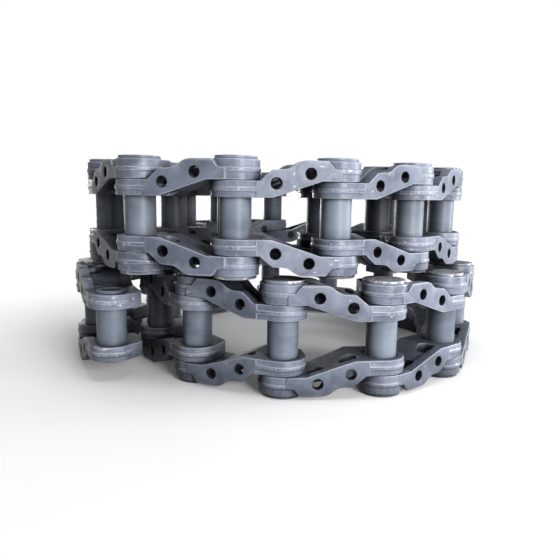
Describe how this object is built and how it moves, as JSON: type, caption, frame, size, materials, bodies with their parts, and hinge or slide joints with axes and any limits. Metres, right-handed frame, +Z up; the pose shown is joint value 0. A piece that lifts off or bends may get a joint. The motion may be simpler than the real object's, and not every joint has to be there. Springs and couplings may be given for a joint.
{
  "type": "excavator track chain",
  "caption": "Dry steel track chain without shoes, two strands rolled into coils and stacked, with cranked link plates, pins and bushings.",
  "frame": {"origin": "centre of the footprint of the stacked coils, on the ground", "axes": "+Z up along the pins; the lower coil's front link runs along X with its shoe face towards -Y"},
  "size_m": [0.945, 0.8866, 0.44],
  "materials": {
    "link_plate": "satin",
    "bushing_and_pin": "semi-gloss"
  },
  "bodies": {
    "lower_link_01": {"lower_link_01_bushing_and_pin": "bushing_and_pin", "lower_link_01_plates": "link_plate"},
    "lower_link_02": {"lower_link_02_bushing_and_pin": "bushing_and_pin", "lower_link_02_plates": "link_plate"},
    "lower_link_03": {"lower_link_03_bushing_and_pin": "bushing_and_pin", "lower_link_03_plates": "link_plate"},
    "lower_link_04": {"lower_link_04_bushing_and_pin": "bushing_and_pin", "lower_link_04_plates": "link_plate"},
    "lower_link_05": {"lower_link_05_bushing_and_pin": "bushing_and_pin", "lower_link_05_plates": "link_plate"},
    "lower_link_06": {"lower_link_06_bushing_and_pin": "bushing_and_pin", "lower_link_06_plates": "link_plate"},
    "lower_link_07": {"lower_link_07_bushing_and_pin": "bushing_and_pin", "lower_link_07_plates": "link_plate"},
    "lower_link_08": {"lower_link_08_bushing_and_pin": "bushing_and_pin", "lower_link_08_plates": "link_plate"},
    "lower_link_09": {"lower_link_09_bushing_and_pin": "bushing_and_pin", "lower_link_09_plates": "link_plate"},
    "lower_link_10": {"lower_link_10_bushing_and_pin": "bushing_and_pin", "lower_link_10_plates": "link_plate"},
    "lower_link_11": {"lower_link_11_bushing_and_pin": "bushing_and_pin", "lower_link_11_plates": "link_plate"},
    "lower_link_12": {"lower_link_12_bushing_and_pin": "bushing_and_pin", "lower_link_12_plates": "link_plate"},
    "lower_link_13": {"lower_link_13_bushing_and_pin": "bushing_and_pin", "lower_link_13_plates": "link_plate"},
    "lower_link_14": {"lower_link_14_bushing_and_pin": "bushing_and_pin", "lower_link_14_plates": "link_plate"},
    "lower_link_15": {"lower_link_15_bushing_and_pin": "bushing_and_pin", "lower_link_15_plates": "link_plate"},
    "upper_link_01": {"upper_link_01_bushing_and_pin": "bushing_and_pin", "upper_link_01_plates": "link_plate"},
    "upper_link_02": {"upper_link_02_bushing_and_pin": "bushing_and_pin", "upper_link_02_plates": "link_plate"},
    "upper_link_03": {"upper_link_03_bushing_and_pin": "bushing_and_pin", "upper_link_03_plates": "link_plate"},
    "upper_link_04": {"upper_link_04_bushing_and_pin": "bushing_and_pin", "upper_link_04_plates": "link_plate"},
    "upper_link_05": {"upper_link_05_bushing_and_pin": "bushing_and_pin", "upper_link_05_plates": "link_plate"},
    "upper_link_06": {"upper_link_06_bushing_and_pin": "bushing_and_pin", "upper_link_06_plates": "link_plate"},
    "upper_link_07": {"upper_link_07_bushing_and_pin": "bushing_and_pin", "upper_link_07_plates": "link_plate"},
    "upper_link_08": {"upper_link_08_bushing_and_pin": "bushing_and_pin", "upper_link_08_plates": "link_plate"},
    "upper_link_09": {"upper_link_09_bushing_and_pin": "bushing_and_pin", "upper_link_09_plates": "link_plate"},
    "upper_link_10": {"upper_link_10_bushing_and_pin": "bushing_and_pin", "upper_link_10_plates": "link_plate"},
    "upper_link_11": {"upper_link_11_bushing_and_pin": "bushing_and_pin", "upper_link_11_plates": "link_plate"},
    "upper_link_12": {"upper_link_12_bushing_and_pin": "bushing_and_pin", "upper_link_12_plates": "link_plate"},
    "upper_link_13": {"upper_link_13_bushing_and_pin": "bushing_and_pin", "upper_link_13_plates": "link_plate"},
    "upper_link_14": {"upper_link_14": "link_plate"},
    "upper_link_15": {"upper_link_15": "link_plate"},
    "upper_link_16": {"upper_link_16": "link_plate"},
    "upper_link_17": {"upper_link_17": "link_plate"}
  },
  "joints": [
    {"name": "upper_coil_lift", "type": "slide", "parent": "lower_link_12", "child": "upper_link_04", "axis": [0, 0, 1], "range_m": [0, 0.45]},
    {"name": "lower_joint_01_02", "type": "hinge", "parent": "lower_link_02", "child": "lower_link_01", "pos_m": [-0.42651, -0.11224, 0.11], "axis": [0, 0, 1], "range_deg": [-29, 0]},
    {"name": "lower_joint_02_03", "type": "hinge", "parent": "lower_link_03", "child": "lower_link_02", "pos_m": [-0.41326, 0.0773, 0.11], "axis": [0, 0, 1], "range_deg": [-30, 0]},
    {"name": "lower_joint_03_04", "type": "hinge", "parent": "lower_link_04", "child": "lower_link_03", "pos_m": [-0.32115, 0.24348, 0.11], "axis": [0, 0, 1], "range_deg": [-29, 0]},
    {"name": "lower_joint_04_05", "type": "hinge", "parent": "lower_link_05", "child": "lower_link_04", "pos_m": [-0.1694, 0.35782, 0.11], "axis": [0, 0, 1], "range_deg": [-30, 0]},
    {"name": "lower_joint_05_06", "type": "hinge", "parent": "lower_link_06", "child": "lower_link_05", "pos_m": [0.01644, 0.39733, 0.11], "axis": [0, 0, 1], "range_deg": [-30, 0]},
    {"name": "lower_joint_06_07", "type": "hinge", "parent": "lower_link_07", "child": "lower_link_06", "pos_m": [0.20157, 0.35458, 0.11], "axis": [0, 0, 1], "range_deg": [-31, 0]},
    {"name": "lower_joint_07_08", "type": "hinge", "parent": "lower_link_08", "child": "lower_link_07", "pos_m": [0.34923, 0.23501, 0.11], "axis": [0, 0, 1], "range_deg": [-32, 0]},
    {"name": "lower_joint_08_09", "type": "hinge", "parent": "lower_link_09", "child": "lower_link_08", "pos_m": [0.42651, 0.06144, 0.11], "axis": [0, 0, 1], "range_deg": [-32, 0]},
    {"name": "lower_joint_09_10", "type": "hinge", "parent": "lower_link_10", "child": "lower_link_09", "pos_m": [0.41657, -0.1283, 0.11], "axis": [0, 0, 1], "range_deg": [-5, 0]},
    {"name": "lower_joint_10_11", "type": "hinge", "parent": "lower_link_11", "child": "lower_link_10", "pos_m": [0.32157, -0.29284, 0.11], "axis": [0, 0, 1], "range_deg": [-2, 12]},
    {"name": "lower_joint_11_12", "type": "hinge", "parent": "lower_link_12", "child": "lower_link_11", "pos_m": [0.16222, -0.39633, 0.11], "axis": [0, 0, 1], "range_deg": [-2, 12]},
    {"name": "lower_joint_12_13", "type": "hinge", "parent": "lower_link_12", "child": "lower_link_13", "pos_m": [-0.02778, -0.39633, 0.11], "axis": [0, 0, 1], "range_deg": [-14, 2]},
    {"name": "lower_joint_13_14", "type": "hinge", "parent": "lower_link_13", "child": "lower_link_14", "pos_m": [-0.19064, -0.29847, 0.11], "axis": [0, 0, 1], "range_deg": [-16, 3]},
    {"name": "lower_joint_14_15", "type": "hinge", "parent": "lower_link_14", "child": "lower_link_15", "pos_m": [-0.28275, -0.13229, 0.11], "axis": [0, 0, 1], "range_deg": [-18, 5]},
    {"name": "upper_joint_01_02", "type": "hinge", "parent": "upper_link_02", "child": "upper_link_01", "pos_m": [-0.38552, -0.15208, 0.33], "axis": [0, 0, 1], "range_deg": [0, 31]},
    {"name": "upper_joint_02_03", "type": "hinge", "parent": "upper_link_03", "child": "upper_link_02", "pos_m": [-0.29632, -0.31984, 0.33], "axis": [0, 0, 1], "range_deg": [0, 47]},
    {"name": "upper_joint_03_04", "type": "hinge", "parent": "upper_link_04", "child": "upper_link_03", "pos_m": [-0.11778, -0.38483, 0.33], "axis": [0, 0, 1], "range_deg": [0, 30]},
    {"name": "upper_joint_04_05", "type": "hinge", "parent": "upper_link_04", "child": "upper_link_05", "pos_m": [0.0715, -0.36827, 0.33], "axis": [0, 0, 1], "range_deg": [-26, 0]},
    {"name": "upper_joint_05_06", "type": "hinge", "parent": "upper_link_05", "child": "upper_link_06", "pos_m": [0.24227, -0.28497, 0.33], "axis": [0, 0, 1], "range_deg": [-28, 0]},
    {"name": "upper_joint_06_07", "type": "hinge", "parent": "upper_link_06", "child": "upper_link_07", "pos_m": [0.36692, -0.14158, 0.33], "axis": [0, 0, 1], "range_deg": [-33, 0]},
    {"name": "upper_joint_07_08", "type": "hinge", "parent": "upper_link_07", "child": "upper_link_08", "pos_m": [0.40966, 0.04355, 0.33], "axis": [0, 0, 1], "range_deg": [-36, 0]},
    {"name": "upper_joint_08_09", "type": "hinge", "parent": "upper_link_08", "child": "upper_link_09", "pos_m": [0.35095, 0.22425, 0.33], "axis": [0, 0, 1], "range_deg": [-5, 0]},
    {"name": "upper_joint_09_10", "type": "hinge", "parent": "upper_link_09", "child": "upper_link_10", "pos_m": [0.2054, 0.34638, 0.33], "axis": [0, 0, 1], "range_deg": [-2, 0]},
    {"name": "upper_joint_10_11", "type": "hinge", "parent": "upper_link_10", "child": "upper_link_11", "pos_m": [0.01682, 0.36954, 0.33], "axis": [0, 0, 1], "range_deg": [-2, 0]},
    {"name": "upper_joint_11_12", "type": "hinge", "parent": "upper_link_11", "child": "upper_link_12", "pos_m": [-0.14936, 0.27742, 0.33], "axis": [0, 0, 1], "range_deg": [-3, 0]},
    {"name": "upper_joint_12_13", "type": "hinge", "parent": "upper_link_12", "child": "upper_link_13", "pos_m": [-0.24148, 0.11124, 0.33], "axis": [0, 0, 1], "range_deg": [-6, 0]},
    {"name": "upper_joint_13_14", "type": "hinge", "parent": "upper_link_13", "child": "upper_link_14", "pos_m": [-0.25473, -0.07829, 0.33], "axis": [0, 0, 1], "range_deg": [-2, 0]},
    {"name": "upper_joint_14_15", "type": "hinge", "parent": "upper_link_14", "child": "upper_link_15", "pos_m": [-0.12275, -0.21497, 0.33], "axis": [0, 0, 1], "range_deg": [-2, 4]},
    {"name": "upper_joint_15_16", "type": "hinge", "parent": "upper_link_15", "child": "upper_link_16", "pos_m": [0.06699, -0.22491, 0.33], "axis": [0, 0, 1], "range_deg": [-1, 8]},
    {"name": "upper_joint_16_17", "type": "hinge", "parent": "upper_link_16", "child": "upper_link_17", "pos_m": [0.22263, -0.11593, 0.33], "axis": [0, 0, 1], "range_deg": [-2, 9]}
  ]
}
